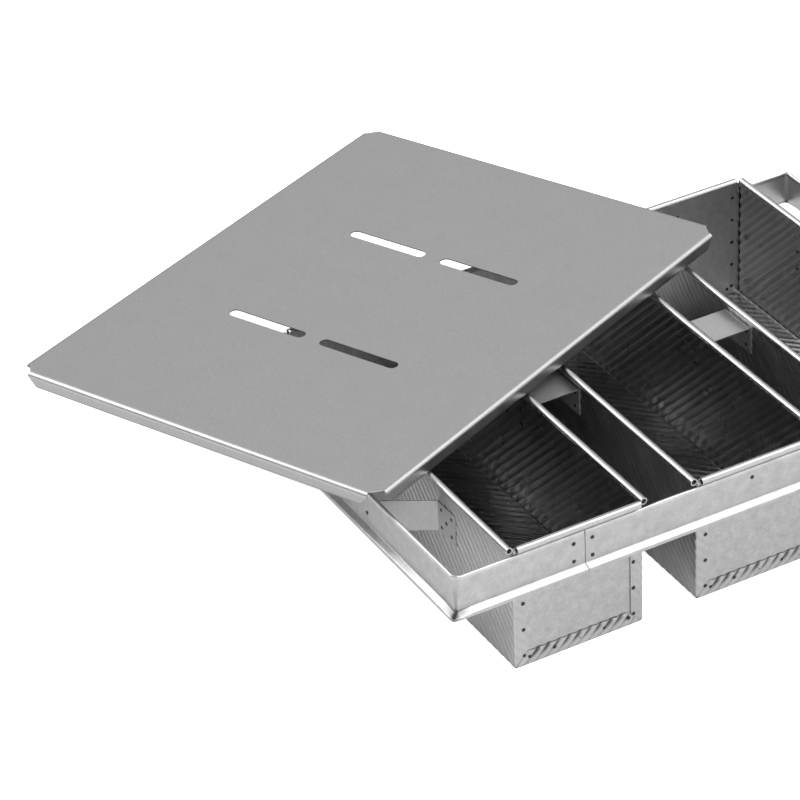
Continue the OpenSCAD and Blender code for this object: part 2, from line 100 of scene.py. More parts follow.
class Parts:
    """Gathers the vertices, faces, shades and material places of one piece."""

    def __init__(self):
        self.verts, self.faces, self.shades, self.which, self.count = [], [], [], [], 0

    def add(self, verts, faces, shade=None, which=None):
        verts = np.asarray(verts, float).reshape(-1, 3)
        self.verts.append(verts)
        self.faces += [tuple(i + self.count for i in f) for f in faces]
        self.which += which or [0] * len(faces)
        self.shades.append(np.ones(len(verts)) if shade is None else np.asarray(shade, float).ravel())
        self.count += len(verts)

    def done(self, name, mat, body, **kw):
        return new_mesh(name, np.vstack(self.verts), self.faces, mat, body,
                        attrs={"shade": np.concatenate(self.shades)}, which=self.which, **kw)


def loft(rings, cap=True):
    """Vertices and faces of a skin over closed outlines: stations x points x 3. cap closes its ends."""
    rings = np.asarray(rings, float)
    n, m = rings.shape[:2]
    faces = []
    for i in range(n - 1):
        for j in range(m):
            k = (j + 1) % m
            faces.append((i * m + j, i * m + k, (i + 1) * m + k, (i + 1) * m + j))
    if cap:
        faces.append(tuple(range(m))[::-1])
        faces.append(tuple((n - 1) * m + j for j in range(m)))
    return rings.reshape(-1, 3), faces


def fillet(points, radius, steps=6):
    """A polyline with its inner corners rounded."""
    pts = [np.asarray(p, float) for p in points]
    out = [pts[0]]
    for i in range(1, len(pts) - 1):
        a, b, c = pts[i - 1], pts[i], pts[i + 1]
        u, w = a - b, c - b
        lu, lw = np.linalg.norm(u), np.linalg.norm(w)
        u, w = u / lu, w / lw
        ang = math.acos(max(-1, min(1, float(u @ w))))
        if ang > math.pi - 0.02:
            out.append(b)
            continue
        d = min(radius / math.tan(ang / 2), 0.45 * lu, 0.45 * lw)
        r = d * math.tan(ang / 2)
        centre = b + (u + w) / np.linalg.norm(u + w) * (r / math.sin(ang / 2))
        p0, p1 = b + u * d, b + w * d
        a0 = math.atan2(*(p0 - centre)[::-1])
        a1 = math.atan2(*(p1 - centre)[::-1])
        da = (a1 - a0 + math.pi) % (2 * math.pi) - math.pi
        for k in range(steps + 1):
            t = a0 + da * k / steps
            out.append(centre + r * np.array([math.cos(t), math.sin(t)]))
    out.append(pts[-1])
    return np.array(out)


def thicken(line, t):
    """Closed outline of a strip t thick round a middle line."""
    line = np.asarray(line, float)
    d = np.gradient(line, axis=0)
    seg = np.diff(line, axis=0)
    seg = seg / np.linalg.norm(seg, axis=1)[:, None]
    d[0], d[-1] = seg[0], seg[-1]
    d[1:-1] = seg[:-1] + seg[1:]
    d /= np.linalg.norm(d, axis=1)[:, None]
    n = np.stack([-d[:, 1], d[:, 0]], 1)
    return np.vstack([line + n * t / 2, (line - n * t / 2)[::-1]])


def smooth01(x):
    """0 below 0, 1 above 1 and a smooth step between them."""
    x = np.clip(x, 0.0, 1.0)
    return x * x * (3 - 2 * x)


def thick_grid(parts, mid, nrm, t, shade):
    """A closed sheet from a regular grid of middle points and unit normals, t thick."""
    n, m = mid.shape[:2]
    t = np.broadcast_to(t, mid.shape[:2])[..., None]
    top = mid + nrm * t / 2
    low = mid - nrm * t / 2
    faces = []
    off = n * m
    for i in range(n - 1):
        for j in range(m - 1):
            q = (i * m + j, i * m + j + 1, (i + 1) * m + j + 1, (i + 1) * m + j)
            faces.append(q)
            faces.append(tuple(off + k for k in q[::-1]))
    rim = [(0, j) for j in range(m)] + [(i, m - 1) for i in range(1, n)]
    rim += [(n - 1, j) for j in range(m - 2, -1, -1)] + [(i, 0) for i in range(n - 2, 0, -1)]
    rim = [i * m + j for i, j in rim]
    for a, b in zip(rim, rim[1:] + rim[:1]):
        faces.append((b, a, off + a, off + b))
    parts.add(np.concatenate([top.reshape(-1, 3), low.reshape(-1, 3)]), faces,
              np.concatenate([shade.ravel(), shade.ravel()]))


# ---------------------------------------------------------------- materials
def sheet_metal(name, base, rough, mottle=0.06, shaded=False, grain=0.12, cloud=38.0, metallic=1.0,
                speck=0.08):
    """Bare sheet: mottle is the depth of its large patches, speck of its fine ones, grain of its bump."""
    mat = bpy.data.materials.new(name)
    mat.use_nodes = True
    nt = mat.node_tree
    nt.nodes.clear()
    out = nt.nodes.new("ShaderNodeOutputMaterial")
    bs = nt.nodes.new("ShaderNodeBsdfPrincipled")
    nt.links.new(bs.outputs[0], out.inputs[0])
    bs.inputs["Metallic"].default_value = metallic
    tc = nt.nodes.new("ShaderNodeTexCoord")

    def noise(scale, detail, rough_, dist=0.0):
        nz = nt.nodes.new("ShaderNodeTexNoise")
        nz.inputs["Scale"].default_value = scale
        nz.inputs["Detail"].default_value = detail
        nz.inputs["Roughness"].default_value = rough_
        nz.inputs["Distortion"].default_value = dist
        nt.links.new(tc.outputs["Object"], nz.inputs["Vector"])
        return nz.outputs["Fac"]

    def ramp(fac, lo, hi, a, b):
        r = nt.nodes.new("ShaderNodeMapRange")
        r.inputs["From Min"].default_value = lo
        r.inputs["From Max"].default_value = hi
        r.inputs["To Min"].default_value = a
        r.inputs["To Max"].default_value = b
        nt.links.new(fac, r.inputs["Value"])
        return r.outputs["Result"]

    def math_node(op, a, b):
        m = nt.nodes.new("ShaderNodeMath")
        m.operation = op
        for k, v in enumerate((a, b)):
            if isinstance(v, (int, float)):
                m.inputs[k].default_value = v
            else:
                nt.links.new(v, m.inputs[k])
        return m.outputs[0]

    patches = ramp(noise(cloud, 4.0, 0.6, 0.2), 0.3, 0.7, 1.0 - mottle, 1.0 + mottle)
    specks = ramp(noise(520.0, 3.0, 0.7), 0.3, 0.7, 1.0 - speck, 1.0 + speck)
    value = math_node("MULTIPLY", patches, specks)
    value = math_node("MULTIPLY", value, base)
    # the shade attribute carries painted shade and painted highlights into the colour
    if shaded:
        at = nt.nodes.new("ShaderNodeAttribute")
        at.attribute_name = "shade"
        value = math_node("MULTIPLY", value, at.outputs["Fac"])
    rgb = nt.nodes.new("ShaderNodeCombineColor")
    for k in range(3):
        nt.links.new(value, rgb.inputs[k])
    nt.links.new(rgb.outputs[0], bs.inputs["Base Color"])
    nt.links.new(ramp(noise(60.0, 4.0, 0.6), 0.3, 0.7, rough - 0.05, rough + 0.05), bs.inputs["Roughness"])
    bump = nt.nodes.new("ShaderNodeBump")
    bump.inputs["Strength"].default_value = grain
    bump.inputs["Distance"].default_value = 0.0006
    height = math_node("ADD", noise(900.0, 3.0, 0.6), math_node("MULTIPLY", noise(70.0, 3.0, 0.5), 3.0))
    nt.links.new(height, bump.inputs["Height"])
    nt.links.new(bump.outputs[0], bs.inputs["Normal"])
    return mat


M_PAN = sheet_metal("pan_sheet", 0.60, 0.34, 0.05, shaded=True, grain=0.05)
# the inside faces get a darker copy of the pan sheet: painted shade for the pans' insides
M_PAN_SHADED_IN = sheet_metal("pan_sheet_inside_shaded", 0.53, 0.24, 0.06, shaded=True, grain=0.02)
M_END = sheet_metal("end_sheet", 0.56, 0.36, 0.10, shaded=True, grain=0.06, cloud=130.0)
M_STRAP = sheet_metal("strap_sheet", 0.58, 0.34, 0.10, shaded=True, grain=0.06, cloud=110.0)
M_BRACKET = sheet_metal("bracket_sheet", 0.50, 0.42, 0.04, grain=0.05, metallic=0.7)
M_COVER = sheet_metal("cover_sheet", 0.55, 0.36, 0.012, shaded=True, grain=0.02, speck=0.07)
# near-black rivet heads: painted shade for their dark look
M_RIVET = sheet_metal("rivet_steel", 0.07, 0.42, 0.15, grain=0.1)
M_WIRE = sheet_metal("wire_steel", 0.12, 0.5, 0.1, grain=0.1)
M_PLATE = sheet_metal("plate_sheet", 0.52, 0.38, 0.05, grain=0.05)
M_ROLL = sheet_metal("roll_sheet", 0.62, 0.28, 0.03, shaded=True, grain=0.03)


def recolour(node, mat):
    """A better material on a node whose solid is kept as it is."""
    for slot in node.material_slots:
        slot.link = "OBJECT"
        slot.material = mat


# ---------------------------------------------------------------- pan bodies
BEND = 1.4                                  # middle radius of the bottom bends
FLAT = SIDE_OUT - BEND - SHEET / 2          # half width of the flat bottom
ARC = BEND * math.pi / 2
HALF_S = FLAT + ARC + (CURL_Z - BEND - SHEET / 2)
END_Y = 160.7                               # where the sheet starts to turn over the end panels
DEPTH = 0.36                                # height of the corrugation
GRID = 2.8                                  # mesh step across the section
CALM = 5.0                                  # the corrugation dies away over this height below the rolls
SWELL, SWELL_FROM, SWELL_REACH = 1.3, 153.0, 6.0    # and stands higher towards the folds
SEAM_Y = 158.6                              # the inside is painted with shade from here to the end panel
FOLD_LOW, FOLD_WIDE = 2.2, 9.4              # upright folds: lower end and width
FLAP_HIGH = 11.6                            # bottom fold: its height


def section(s):
    """Middle line of the pan's section, s along it from the bottom's middle: x, z and outward normal."""
    s = np.asarray(s, float)
    a = np.abs(s)
    g = np.sign(s)
    th = np.clip((a - FLAT) / BEND, 0, math.pi / 2)
    x = np.where(a < FLAT, a, FLAT + BEND * np.sin(th))
    z = SHEET / 2 + BEND * (1 - np.cos(th)) + np.clip(a - FLAT - ARC, 0, None)
    return g * x, z, g * np.sin(th), -np.cos(th)


def wave(s, y):
    """Height of the corrugation, from -1 to 1: crests not all alike, with a lesser crest between them."""
    c = s + y
    t = 2 * math.pi * c / WAVE_Y
    big = 1 + 0.22 * np.sin(c * 0.217 + 1.3) + 0.15 * np.sin(c * 0.083)
    big = big + 0.12 * np.sin((s - y) * 0.11 + 0.4 * c)
    return np.clip(0.80 * big * np.sin(t) + 0.22 * np.sin(2 * t + 0.9), -1, 1)


def valley_shade(h, depth):
    """Painted shade of the sheet: the valleys are a little darker, as if in shadow."""
    return 1.0 - depth * (0.5 - 0.5 * h)


def shell(parts, cx):
    """Bottom and two long walls in one sheet. The mesh follows the slanting grooves, so its rows differ."""
    flat = np.linspace(-FLAT, FLAT, int(2 * FLAT / GRID) + 1)
    bend = np.linspace(FLAT, FLAT + ARC, 6)[1:]
    wall = np.linspace(FLAT + ARC, HALF_S, int((HALF_S - FLAT - ARC) / GRID) + 1)[1:]
    s_all = np.concatenate([-wall[::-1], -bend[::-1], flat, bend, wall])
    dt = WAVE_Y / 8
    top, low, tones = [], [], []
    for i, s in enumerate(s_all):
        k0 = math.floor((-END_Y + s) / dt)
        k1 = math.ceil((END_Y + s) / dt)
        ks = np.arange(k0, k1 + 1)
        y = np.clip(ks * dt - s, -END_Y, END_Y)
        x, z, nx, nz = (float(v) for v in section(s))
        w = smooth01((abs(s) - FLAT) / ARC)
        fade = float(1 - 0.8 * smooth01((abs(s) - (HALF_S - CALM)) / (CALM - 1)))
        h = wave(s, y)
        if w < 1:
            d = fade * (DEPTH / 2 * h + DEPTH / 2 * (2 * w - 1))
        else:
            d = fade * DEPTH / 2 * (h + 1) * (1 + SWELL * smooth01((np.abs(y) - SWELL_FROM) / SWELL_REACH))
        for sign, store in ((1, top), (-1, low)):
            P = np.stack([cx + x + nx * (d + sign * SHEET / 2), y, z + nz * (d + sign * SHEET / 2)], 1)
            store.append((k0, k1, P))
        # painted shade: the outside darker just below the rolls and in a line along the bottom bend, the
        # inside darker at the seam by the end panel
        under = 1.0 - 0.6 * float(smooth01((abs(s) - (HALF_S - 5.6)) / 1.2))
        under *= 1.0 - 0.6 * math.exp(-((abs(s) - FLAT - 0.45 * ARC) / 0.9) ** 2)
        seam = 1.0 - 0.9 * smooth01((np.abs(y) - SEAM_Y + 0.5 * h) / 0.7)
        tones.append((valley_shade(h, 0.16) * under, valley_shade(-h, 0.4) * seam))
    verts, shade, start = [], [], {}
    n = 0
    for side, rows in (("t", top), ("l", low)):
        for i, (k0, k1, P) in enumerate(rows):
            start[side, i] = (n, k0, k1)
            verts.append(P)
            shade.append(tones[i][side == "l"])
            n += len(P)
    faces, which = [], []

    def vid(side, i, k):
        """Vertex of row i at station k, or the row's end where the row is shorter."""
        b, k0, k1 = start[side, i]
        return b + min(max(k, k0), k1) - k0

    for i in range(len(s_all) - 1):
        lo = min(start["t", i][1], start["t", i + 1][1])
        hi = max(start["t", i][2], start["t", i + 1][2])
        for k in range(lo, hi):
            for side in ("t", "l"):
                q = [vid(side, i, k), vid(side, i, k + 1), vid(side, i + 1, k + 1), vid(side, i + 1, k)]
                u = list(dict.fromkeys(q))
                if len(u) > 2:
                    faces.append(tuple(u) if side == "l" else tuple(u[::-1]))
                    which.append(int(side == "l"))
        for k in (-10 ** 6, 10 ** 6):
            a, b = vid("t", i, k), vid("t", i + 1, k)
            c, d = vid("l", i + 1, k), vid("l", i, k)
            faces.append((a, b, c, d) if k > 0 else (d, c, b, a))
            which.append(0)
    for i in (0, len(s_all) - 1):
        _, k0, k1 = start["t", i]
        for k in range(k0, k1):
            q = (vid("t", i, k), vid("t", i, k + 1), vid("l", i, k + 1), vid("l", i, k))
            faces.append(q if i else q[::-1])
    which += [0] * (len(faces) - len(which))
    parts.add(np.vstack(verts), faces, np.concatenate(shade), which)


def wrap(e, r=0.5):
    """Turning over the end, e past END_Y: how far out, how far across, and 0 to 1 for the turn done."""
    th = np.clip(e / r, 0, math.pi / 2)
    return r * np.sin(th), r * (1 - np.cos(th)) + np.clip(e - r * math.pi / 2, 0, None), np.sin(th)


def upright_fold(parts, cx, side, end):
    """The wall's end, lapped over the end panel. Its lower end is cut slantwise, under the bottom fold."""
    zs = np.linspace(FOLD_LOW, FOLD_TOP, 84)
    es = np.concatenate([np.linspace(0, 0.8, 5), np.linspace(1.2, FOLD_WIDE, 9)])
    E, Z = np.meshgrid(es, zs)
    out, across, turn = wrap(E)
    Z = np.maximum(Z, FOLD_LOW + across * 0.9)
    s = FLAT + ARC + Z - BEND - SHEET / 2
    h = wave(side * s, end * (END_Y + E))
    flat_amp = DEPTH * (1 - 0.75 * turn * (1 - smooth01((across - 6.5) / 3.0)))
    d = flat_amp / 2 * (h + 1)
    nx, ny = side * (1 - turn), end * turn
    ln = np.hypot(nx, ny)
    N = np.stack([nx / ln, ny / ln, 0 * Z], -1)
    x = cx + side * (SIDE_OUT - SHEET / 2 - across)
    P = np.stack([x, end * (END_Y + out), Z], -1) + N * d[..., None]
    if side * end > 0:
        P, N, h = P[:, ::-1], N[:, ::-1], h[:, ::-1]
    thick_grid(parts, P, N, SHEET * 0.9, valley_shade(h, 0.10))


def bottom_fold(parts, cx, end):
    """The bottom's end, lapped up over the end panel, with slanted ends like the flap of an envelope."""
    xs = np.linspace(-SIDE_OUT + 0.8, SIDE_OUT - 0.8, 97)
    es = np.concatenate([np.linspace(0, 0.8, 5), np.linspace(1.3, FLAP_HIGH, 11)])
    X, E = np.meshgrid(xs, es)
    out, up, turn = wrap(E)
    lim = SIDE_OUT - 0.9 - 0.92 * up
    X = np.clip(X, -lim, lim)
    h = wave(X, end * (END_Y + E))
    amp = 1.3 * smooth01((up - 0.3) / 5.0) * (1 - 0.5 * smooth01((up - 9.3) / 2.0))
    d = amp / 2 * (h + 1)
    edge = smooth01((np.abs(X) - (lim - 4.0)) / 4.0)
    d = d * (1 - edge) + 0.22 * edge * turn
    ny, nz = end * turn, -(1 - turn)
    ln = np.hypot(ny, nz)
    N = np.stack([0 * X, ny / ln, nz / ln], -1)
    P = np.stack([cx + X, end * (END_Y + out - 0.15 * turn), SHEET / 2 + up], -1) + N * d[..., None]
    P[..., 2] += 0.45 * smooth01((up - 8.5) / 2.5) * np.sin(2 * math.pi * (X - end * END_Y) / WAVE_Y + 0.8)
    # painted shade: the valleys darker towards the fold's upper edge, where the flanks of the crests are in
    # shadow, and a dark line along the bottom bend
    rise = smooth01((up - 3.5) / 5.0)
    tone = 1 - (0.28 + 0.62 * rise * (1 - edge)) * smooth01((0.15 - h) / 0.9)
    tone *= 1 - 0.6 * np.exp(-((E - 0.3) / 0.45) ** 2)
    if end < 0:
        P, N, tone = P[:, ::-1], N[:, ::-1], tone[:, ::-1]
        edge, turn, up = edge[:, ::-1], turn[:, ::-1], up[:, ::-1]
    t = SHEET * np.maximum(0.8 - 0.45 * smooth01((up - 8.0) / 3.0) - 0.75 * edge * turn, 0.04)
    thick_grid(parts, P - N * (0.4 * SHEET - t / 2)[..., None], N, t, tone)


def curl_section(steps=20, last=-152):
    """Closed outline of the rolled rim: n is outward from the sheet's inner face, z is up."""
    ang = np.radians(np.linspace(180, last, steps))
    mid = CURL_R - SHEET / 2
    pts = np.stack([CURL_R + mid * np.cos(ang), CURL_Z + mid * np.sin(ang)], 1)
    pts = np.vstack([[SHEET / 2, CURL_Z - 1.2], pts])
    return thicken(pts, SHEET)


def curl(parts, place, half, stations, seed):
    """A rolled rim along a line, slightly uneven; place(u, n, z) gives the point."""
    sec = curl_section()
    us = np.linspace(-half, half, stations)
    dents = np.random.default_rng(seed).normal(0, 0.05, 14)
    rings = []
    for u, w in zip(us, np.interp(us, np.linspace(-half, half, 14), dents)):
        n = CURL_R + (sec[:, 0] - CURL_R) * min(0.98 + 0.4 * w, 1.0)
        z = sec[:, 1] - abs(w) * 0.6
        rings.append([place(u, a, b) for a, b in zip(n, z)])
    parts.add(*loft(rings))


def end_panel(parts, cx, end):
    """The plain sheet that closes the pan at one end."""
    half = SIDE_IN - 0.1
    X, Z = np.meshgrid(np.linspace(-half, half, 40), np.linspace(SHEET + 0.1, CURL_Z, 40))
    P = np.stack([cx + X, end * (PANEL_IN + SHEET / 2) + 0 * X, Z], -1)
    N = np.zeros_like(P)
    N[..., 1] = end
    if end > 0:
        P, N = P[:, ::-1], N[:, ::-1]
    thick_grid(parts, P, N, SHEET, np.ones(P.shape[:2]))


for i, cx in enumerate(PAN_X):
    pan = f"pan_{i + 1}"
    p = Parts()
    shell(p, cx)
    for side in (-1, 1):
        for end in (-1, 1):
            upright_fold(p, cx, side, end)
    for end in (-1, 1):
        bottom_fold(p, cx, end)
    p.done(f"{pan}_shell", [M_PAN, M_PAN_SHADED_IN], "pan_set", smooth=40, replaces=[f"{pan}_body"],
           slot="pan_sheet")
    p = Parts()
    for side in (-1, 1):
        curl(p, lambda u, n, z, s=side: (cx + s * (SIDE_IN + n), s * u, z), SIDE_ROLL_END,
             stations=70, seed=11 * i + side + 3)
    p.done(f"{pan}_side_rolls", M_ROLL, "pan_set", smooth=40, slot="pan_sheet")
    for end, word in ((-1, "front"), (1, "rear")):
        p = Parts()
        end_panel(p, cx, end)
        p.done(f"{pan}_{word}_panel", M_END, "pan_set", smooth=40, replaces=[f"{pan}_{word}_end"],
               slot="end_sheet")
        p = Parts()
        curl(p, lambda u, n, z, e=end: (cx - e * u, e * (PANEL_IN + n), z), END_ROLL_HALF,
             stations=30, seed=31 * i + end + 5)
        p.done(f"{pan}_{word}_roll", M_ROLL, "pan_set", smooth=40, slot="end_sheet")
    recolour(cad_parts[f"{pan}_rim_wires"], M_WIRE)


# ---------------------------------------------------------------- strap
CREASE_END = 88.0                           # the crease of a corner fades above this height


def strap_outline(w, lean):
    """Outline of the strap's section: w is 1 on the straight, 0 at a corner; lean opens the hem inwards."""
    drop = 1.0 - w
    t = STRAP_T
    lip = FLARE_OUT + t / 2
    outer = [(lip, STRAP_LOW), (lip, FLARE_LOW - 0.6 * drop), (t / 2, FLARE_TOP - drop),
             (t / 2, FLARE_TOP + 1.6), (t / 2, STRAP_TOP - 3.4), (t / 2, STRAP_TOP - t)]
    full = t / 2 + 0.55 * lean              # middle radius of the hem's roll
    c = (t / 2 - full, STRAP_TOP - t / 2 - full)
    top = [(c[0] + full * math.cos(a), c[1] + full * math.sin(a)) for a in np.linspace(0.0, math.pi, 10)]
    hem = [(c[0] - full, STRAP_TOP - 2.3), (c[0] - full - 0.1 * lean, STRAP_TOP - HEM_H + 0.6),
           (c[0] - full - 0.15 * lean, STRAP_TOP - HEM_H)]
    return thicken(np.vstack([fillet(outer, 0.9, 5)[:-1], top, hem]), t * 0.98)


def hem_painted_light(k, n, z):
    """Painted light at point k of n of a section: a painted highlight on the hem's roll and lower edge,
    painted shade between them.
    """
    if z > STRAP_TOP - 1.4:
        return 1.25
    if n // 2 - 3 <= k < n // 2 + 3:
        heights = [-HEM_H, 0.7 - HEM_H, -2.3, -1.4]
        return float(np.interp(z - STRAP_TOP, heights, [1.5, 0.65, 0.65, 1.1]))
    return 1.0


def corner_radius(z, sy):
    """The corners are tight at the foot and wider at the top, more so in front."""
    return 1.6 + (5.0 if sy < 0 else 2.0) * float(smooth01((z - 88.0) / 7.0))


def strap_stations():
    """Stations along the strap, from one side of its joint round to the other."""
    near = [8.0, 9.0, 10.5, 12.5, 15.0, 18.0, 22.0, 27.0]      # from a corner: the section changes there

    def straight(kind, a=-math.inf, b=math.inf):
        L = STRAP_X if kind in ("front", "rear") else STRAP_Y
        pos = [d - L for d in near] + [L - d for d in near] + list(np.arange(-L + 32, L - 31, 12.0))
        return [(kind, q) for q in sorted(set(pos)) if a <= q <= b]

    def corner(kind):
        return [(kind, a) for a in np.linspace(0, 90, 9)]

    st = [("front", SEAM_X + 0.4)] + straight("front", a=SEAM_X + 2) + corner("front_right")
    st += straight("right") + corner("rear_right") + straight("rear") + corner("rear_left")
    st += straight("left") + corner("front_left")
    return st + straight("front", b=SEAM_X - 2) + [("front", SEAM_X - 0.4)]


# direction along each side and out of it, and for each corner its signs and the angle it starts at
DIRS = {"front": ((1, 0), (0, -1)), "right": ((0, 1), (1, 0)), "rear": ((-1, 0), (0, 1)),
        "left": ((0, -1), (-1, 0))}
CORNERS = {"front_right": ((1, -1), -90), "rear_right": ((1, 1), 0), "rear_left": ((-1, 1), 90),
           "front_left": ((-1, -1), 180)}


def strap_ring(kind, q):
    """The strap's section at place q of a side, or at q degrees of a corner."""
    if kind in DIRS:
        along, out = DIRS[kind]
        L = STRAP_X if kind in ("front", "rear") else STRAP_Y
        other = STRAP_Y if kind in ("front", "rear") else STRAP_X
        w = float(smooth01((L - abs(q) - 1.0) / 14.0))
        lean = 1.0
        if kind in ("front", "rear"):
            gap = min(abs((q if kind == "front" else -q) - c) for c in PAN_X)
            lean = float(smooth01((gap - 56.0) / 4.0))
        ring = []
        for n, z in strap_outline(w, lean):
            ring.append((along[0] * q + out[0] * (other + n), along[1] * q + out[1] * (other + n), z))
        return ring
    (sx, sy), a0 = CORNERS[kind]
    ring = []
    for n, z in strap_outline(0.0, 0.6):
        r = corner_radius(z, sy)
        t = math.radians(a0 + q)
        square = 1 / max(abs(math.cos(t)), abs(math.sin(t)))
        n = n * (1 + 0.8 * (square - 1) * float(smooth01((n - 0.8) / 2.0)))
        pinch = 0.9 * math.exp(-((q - 45) / 20.0) ** 2) * float(smooth01((z - FLARE_LOW) / 1.5))
        pinch *= float(1 - smooth01((z - CREASE_END) / 5.0))
        cx, cy = sx * (STRAP_X - r), sy * (STRAP_Y - r)
        ring.append((cx + (r + n - pinch) * math.cos(t), cy + (r + n - pinch) * math.sin(t), z))
    return ring


def strap_painted_shade(kind, q, z):
    """Painted shade on the strap: dark in the crease of a corner, darkest at the pinch by the flare, and on
    the flare where it runs out towards a corner, which gives the flare's highlight a taper.
    """
    if kind in CORNERS:
        crease, run_out = math.exp(-((q - 45) / 26.0) ** 2), 1.0
    else:
        side = STRAP_X if kind in ("front", "rear") else STRAP_Y
        crease, run_out = 0.0, float(smooth01(1 - (side - abs(q)) / 13.0))
    pinch_shade = float(1 - smooth01((z - FLARE_LOW) / 1.2)) * float(smooth01((z - STRAP_LOW - 1.2) / 0.8))
    flare = float(np.clip((z - FLARE_LOW + 0.4) / 2.2, 0, 1)) if z < FLARE_TOP + 1.0 else 0.0
    tone = 1.0 - crease * (0.5 + 0.4 * pinch_shade) * float(1 - smooth01((z - CREASE_END + 1.0) / 5.0))
    return tone * (1 - 0.6 * run_out * flare)


p = Parts()
rings, shade = [], []
for kind, q in strap_stations():
    ring = strap_ring(kind, q)
    rings.append(ring)
    shade += [strap_painted_shade(kind, q, z) * hem_painted_light(k, len(ring), z) for k, (_, _, z) in enumerate(ring)]
p.add(*loft(rings), shade)
p.done("strap_shell", M_STRAP, "pan_set", smooth=32, replaces=["strap_band"], slot="strap_sheet")
recolour(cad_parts["strap_splice_plate"], M_PLATE)


# ---------------------------------------------------------------- rivets
HEAD = [(1.5, -0.15), (1.52, 0.12), (1.4, 0.32), (1.1, 0.47), (0.66, 0.56), (0.26, 0.54)]   # radius, height
HEAD_ROOM = 1.8                             # outside, a head has to lie this far below the strap


def rivet_head(parts, at, direction, seed):
    """A domed head standing on a face at 'at', pointing along 'direction'. The seed varies its size."""
    d = Vector(direction).normalized()
    a = d.orthogonal().normalized()
    b = d.cross(a)
    at, d, a, b = (np.array(v) for v in (at, d, a, b))
    k = 1.0 + np.random.default_rng(seed).normal(0, 0.04)
    turn = np.linspace(0, 2 * math.pi, 16, endpoint=False)
    rings = [[at + rad * k * (math.cos(t) * a + math.sin(t) * b) + h * d for t in turn] for rad, h in HEAD]
    parts.add(*loft(rings))


# seam rivets: heights of the upright rows, and places of the row along the bottom fold
ROW_X = SIDE_OUT - 7.3
BOTTOM_X, BOTTOM_Z = ROW_X - 4.2, 7.0
FRONT_ROW = [9.3 + i * (FOLD_TOP - 15.9 - 9.3) / 3 for i in range(4)]
REAR_ROW = [8.6 + i * (FOLD_TOP - 2.4 - 8.6) / 4 for i in range(5)]
BOTTOM_ROW = [BOTTOM_X * (2 * i / 4 - 1) for i in range(5)]
seed = 100                                  # goes up by one from rivet to rivet
for i, cx in enumerate(PAN_X):
    p = Parts()
    for end, rows in ((-1, FRONT_ROW), (1, REAR_ROW)):
        spots = [(s * ROW_X, z) for s in (-1, 1) for z in rows] + [(x, BOTTOM_Z) for x in BOTTOM_ROW]
        for x, z in spots:
            seed += 1
            rivet_head(p, (cx + x, end * PANEL_IN, z), (0, -end, 0), seed)
            if z + HEAD_ROOM < STRAP_LOW:
                lift = 0.35 if z == BOTTOM_Z else 0.1       # the bottom fold is the thicker one
                rivet_head(p, (cx + x, end * (END_OUT + lift), z), (0, end, 0), seed)
    p.done(f"pan_{i + 1}_seam_heads", M_RIVET, "pan_set", smooth=50, replaces=[f"pan_{i + 1}_seam_rivets"],
           slot="rivets")

# rivets of the strap: its joint, and one at each pan's end
RIVET_Z = STRAP_TOP - 8.0
SPLICE_X, SPLICE_STEP = 7.5, 14.8
STRAP_RIVET_X = -6.4                        # from the pan's middle
p = Parts()
for s in (-1, 1):
    for z in (RIVET_Z, RIVET_Z - SPLICE_STEP):
        seed += 1
        rivet_head(p, (JOINT_X + s * SPLICE_X, -(STRAP_Y + STRAP_T), z), (0, -1, 0), seed)
        rivet_head(p, (JOINT_X + s * SPLICE_X, -PANEL_IN, z), (0, 1, 0), seed)
p.done("splice_heads", M_RIVET, "pan_set", smooth=50, replaces=["strap_splice_rivets"], slot="rivets")
p = Parts()
for end, xs in ((-1, PAN_X[1:]), (1, PAN_X)):
    for x in xs:
        seed += 1
        rivet_head(p, (x + STRAP_RIVET_X, end * (STRAP_Y + STRAP_T), RIVET_Z), (0, end, 0), seed)
        rivet_head(p, (x + STRAP_RIVET_X, end * PANEL_IN, RIVET_Z), (0, -end, 0), seed)
p.done("strap_heads", M_RIVET, "pan_set", smooth=50, replaces=["strap_pan_rivets"], slot="rivets")

# inner spacers: channels open below, between two pans
SP_TOP, SP_H, SP_L, SP_Y = PAN_H - 10.5, 22.5, 32.0, 7.0
SP_EDGE = 5.5                               # rivet's middle to the channel's edge
heads = Parts()
for word, cx in (("left", -PITCH / 2), ("right", PITCH / 2)):
    half = GAP / 2 - SHEET / 2
    low = SP_TOP - SP_H
    mid = fillet([(-half, low), (-half, SP_TOP - SHEET / 2), (half, SP_TOP - SHEET / 2), (half, low)], 1.6, 7)
    out = thicken(mid, SHEET * 0.96)
    ys = np.linspace(SP_Y - SP_L / 2, SP_Y + SP_L / 2, 9)
    p = Parts()
    p.add(*loft([[(cx + a, y, z) for a, z in out] for y in ys]))
    p.done(f"spacer_{word}", M_BRACKET, "pan_set", smooth=32, replaces=[f"inner_spacer_{word}"],
           slot="bracket_sheet")
    for s in (-1, 1):
        for y in (SP_Y - SP_L / 2 + SP_EDGE, SP_Y + SP_L / 2 - SP_EDGE):
            for z in (SP_TOP - SP_EDGE, SP_TOP - SP_H + SP_EDGE):
                seed += 1
                x = cx + s * (GAP / 2 - SHEET)
                rivet_head(heads, (x, y, z), (-s, 0, 0), seed)
                rivet_head(heads, (x + s * 2 * SHEET, y, z), (s, 0, 0), seed)
heads.done("spacer_heads", M_RIVET, "pan_set", smooth=50, replaces=["inner_spacer_rivets"], slot="rivets")

